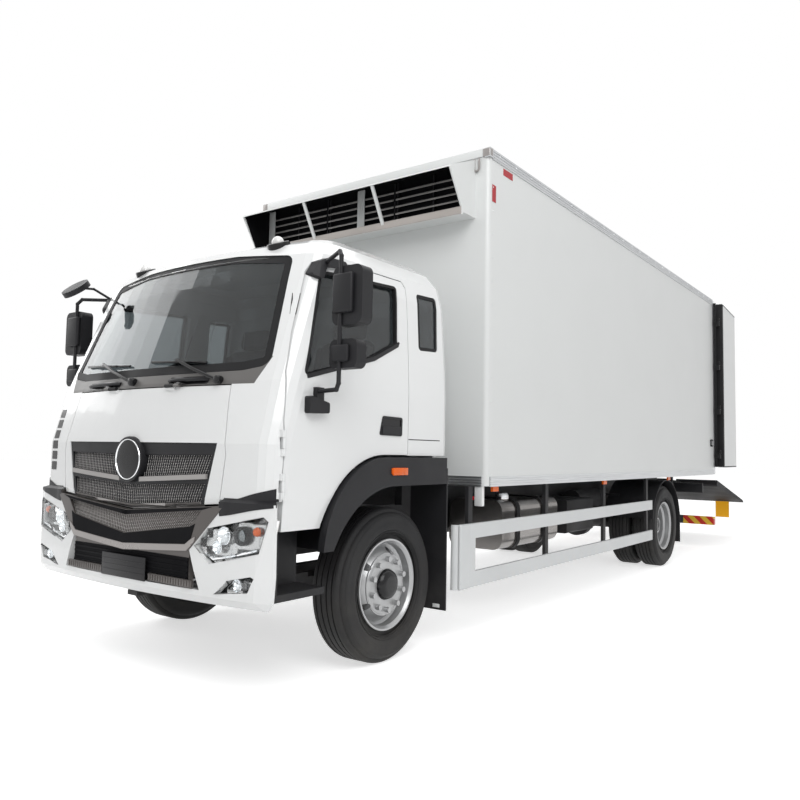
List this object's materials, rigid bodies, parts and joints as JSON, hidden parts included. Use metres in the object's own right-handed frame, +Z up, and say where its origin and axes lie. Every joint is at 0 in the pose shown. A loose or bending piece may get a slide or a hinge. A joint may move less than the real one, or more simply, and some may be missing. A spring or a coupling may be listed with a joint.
{
  "type": "box delivery truck",
  "caption": "Cab-over delivery truck with an insulated box, rear barn doors and a folding tail lift; steered wheels turn, doors and front lid open.",
  "frame": {"origin": "on the ground, midway between the sides and between the front of the bumper and the tip of the lowered platform", "axes": "+Z up, -Y forwards (the cab faces -Y), +X to the left of the driver"},
  "size_m": [3.04, 11.6923, 3.816],
  "materials": {
    "cab_white": "gloss",
    "panel_white": "satin",
    "rail_metal": "satin",
    "frame_steel": "satin",
    "chassis_black": "satin",
    "engine_iron": "matte",
    "platform_metal": "matte",
    "flag_yellow": "matte",
    "underrun_red": "satin",
    "shield_grey": "satin",
    "lamp_clear": "gloss",
    "lamp_amber": "gloss",
    "trim_black": "matte",
    "cabin_grey": "matte",
    "seat_cloth": "matte",
    "glass": "gloss",
    "rim_silver": "satin",
    "tyre_rubber": "matte"
  },
  "bodies": {
    "truck": {"chassis_rails": "chassis_black", "crossmembers": "chassis_black", "driveline": "engine_iron", "front_axle": "chassis_black", "rear_axle": "chassis_black", "leaf_springs": "chassis_black", "fuel_tank": "rail_metal", "frame_boxes": "chassis_black", "side_guards": "rail_metal", "rear_mudguards": "trim_black", "underrun_bar": "underrun_red", "bumper": "cab_white", "bumper_grille": "shield_grey", "front_lamps": "lamp_clear", "front_arches": "trim_black", "cab_floor": "cabin_grey", "cab_front": "cab_white", "cab_sides": "cab_white", "cab_back": "cab_white", "cab_roof": "cab_white", "cowl": "trim_black", "cab_glass": "glass", "dashboard": "cabin_grey", "seats": "seat_cloth", "box_floor": "rail_metal", "box_walls": "panel_white", "box_roof": "panel_white", "box_front": "panel_white", "rear_frame": "frame_steel", "box_rails": "rail_metal", "vent_hood": "panel_white", "vent_louvres": "rail_metal", "marker_lamps": "lamp_amber", "lift_frame": "chassis_black"},
    "front_lid": {"front_lid": "cab_white", "lid_grille": "shield_grey"},
    "cab_door_left": {"cab_door_left": "cab_white", "door_glass_left": "glass", "mirrors_left": "trim_black"},
    "cab_door_right": {"cab_door_right": "cab_white", "door_glass_right": "glass", "mirrors_right": "trim_black"},
    "rear_door_left": {"rear_door_left": "panel_white"},
    "rear_door_right": {"rear_door_right": "panel_white"},
    "knuckle_left": {"knuckle_left": "chassis_black"},
    "knuckle_right": {"knuckle_right": "chassis_black"},
    "tie_rod": {"tie_rod": "chassis_black"},
    "wheel_front_left": {"rim_front_left": "rim_silver", "tyre_front_left": "tyre_rubber"},
    "wheel_front_right": {"rim_front_right": "rim_silver", "tyre_front_right": "tyre_rubber"},
    "wheel_rear_left": {"rims_rear_left": "rim_silver", "tyres_rear_left": "tyre_rubber"},
    "wheel_rear_right": {"rims_rear_right": "rim_silver", "tyres_rear_right": "tyre_rubber"},
    "lift_arms": {"lift_arms": "chassis_black"},
    "lift_shaft": {"lift_shaft": "chassis_black"},
    "platform": {"lift_platform": "platform_metal", "warning_flags": "flag_yellow"}
  },
  "joints": [
    {"name": "steer_left", "type": "hinge", "parent": "truck", "child": "knuckle_left", "pos_m": [0.84, -4.57523, 0.51], "axis": [0, 0, 1], "range_deg": [-38, 38]},
    {"name": "steer_right", "type": "hinge", "parent": "truck", "child": "knuckle_right", "pos_m": [-0.84, -4.57523, 0.51], "axis": [0, 0, 1], "range_deg": [-38, 38]},
    {"name": "tie_rod_pivot", "type": "hinge", "parent": "knuckle_left", "child": "tie_rod", "pos_m": [0.84, -4.36023, 0.482], "axis": [0, 0, 1], "range_deg": [-38, 38]},
    {"name": "spin_front_left", "type": "hinge", "parent": "knuckle_left", "child": "wheel_front_left", "pos_m": [0.987, -4.57523, 0.51], "axis": [1, 0, 0], "continuous": true},
    {"name": "spin_front_right", "type": "hinge", "parent": "knuckle_right", "child": "wheel_front_right", "pos_m": [-0.987, -4.57523, 0.51], "axis": [1, 0, 0], "continuous": true},
    {"name": "spin_rear_left", "type": "hinge", "parent": "truck", "child": "wheel_rear_left", "pos_m": [0.906, 1.22477, 0.51], "axis": [1, 0, 0], "continuous": true},
    {"name": "spin_rear_right", "type": "hinge", "parent": "truck", "child": "wheel_rear_right", "pos_m": [-0.906, 1.22477, 0.51], "axis": [1, 0, 0], "continuous": true},
    {"name": "door_left_hinge", "type": "hinge", "parent": "truck", "child": "cab_door_left", "pos_m": [1.171, -5.64723, 1.4], "axis": [0, 0, -1], "range_deg": [0, 70]},
    {"name": "door_right_hinge", "type": "hinge", "parent": "truck", "child": "cab_door_right", "pos_m": [-1.171, -5.64723, 1.4], "axis": [0, 0, 1], "range_deg": [0, 70]},
    {"name": "lid_hinge", "type": "hinge", "parent": "truck", "child": "front_lid", "pos_m": [0, -5.77123, 1.772], "axis": [-1, 0, 0], "range_deg": [0, 75]},
    {"name": "rear_door_left_hinge", "type": "hinge", "parent": "truck", "child": "rear_door_left", "pos_m": [1.33, 3.52777, 2.5], "axis": [0, 0, -1], "range_deg": [-86, 176]},
    {"name": "rear_door_right_hinge", "type": "hinge", "parent": "truck", "child": "rear_door_right", "pos_m": [-1.33, 3.52777, 2.5], "axis": [0, 0, 1], "range_deg": [-86, 176]},
    {"name": "lift_arm_pivot", "type": "hinge", "parent": "truck", "child": "lift_arms", "pos_m": [0, 3.17477, 0.76], "axis": [-1, 0, 0], "range_deg": [-15.6, 47]},
    {"name": "lift_shaft_level", "type": "hinge", "parent": "lift_arms", "child": "lift_shaft", "pos_m": [0, 3.90677, 0.96438], "axis": [1, 0, 0], "range_deg": [-15.6, 47]},
    {"name": "platform_fold", "type": "hinge", "parent": "lift_shaft", "child": "platform", "pos_m": [0, 3.90677, 0.96438], "axis": [1, 0, 0], "range_deg": [0, 102]}
  ],
  "couplings": [
    {"joint": "steer_right", "follows": "steer_left", "ratio": 1},
    {"joint": "tie_rod_pivot", "follows": "steer_left", "ratio": -1},
    {"joint": "lift_shaft_level", "follows": "lift_arm_pivot", "ratio": 1}
  ]
}
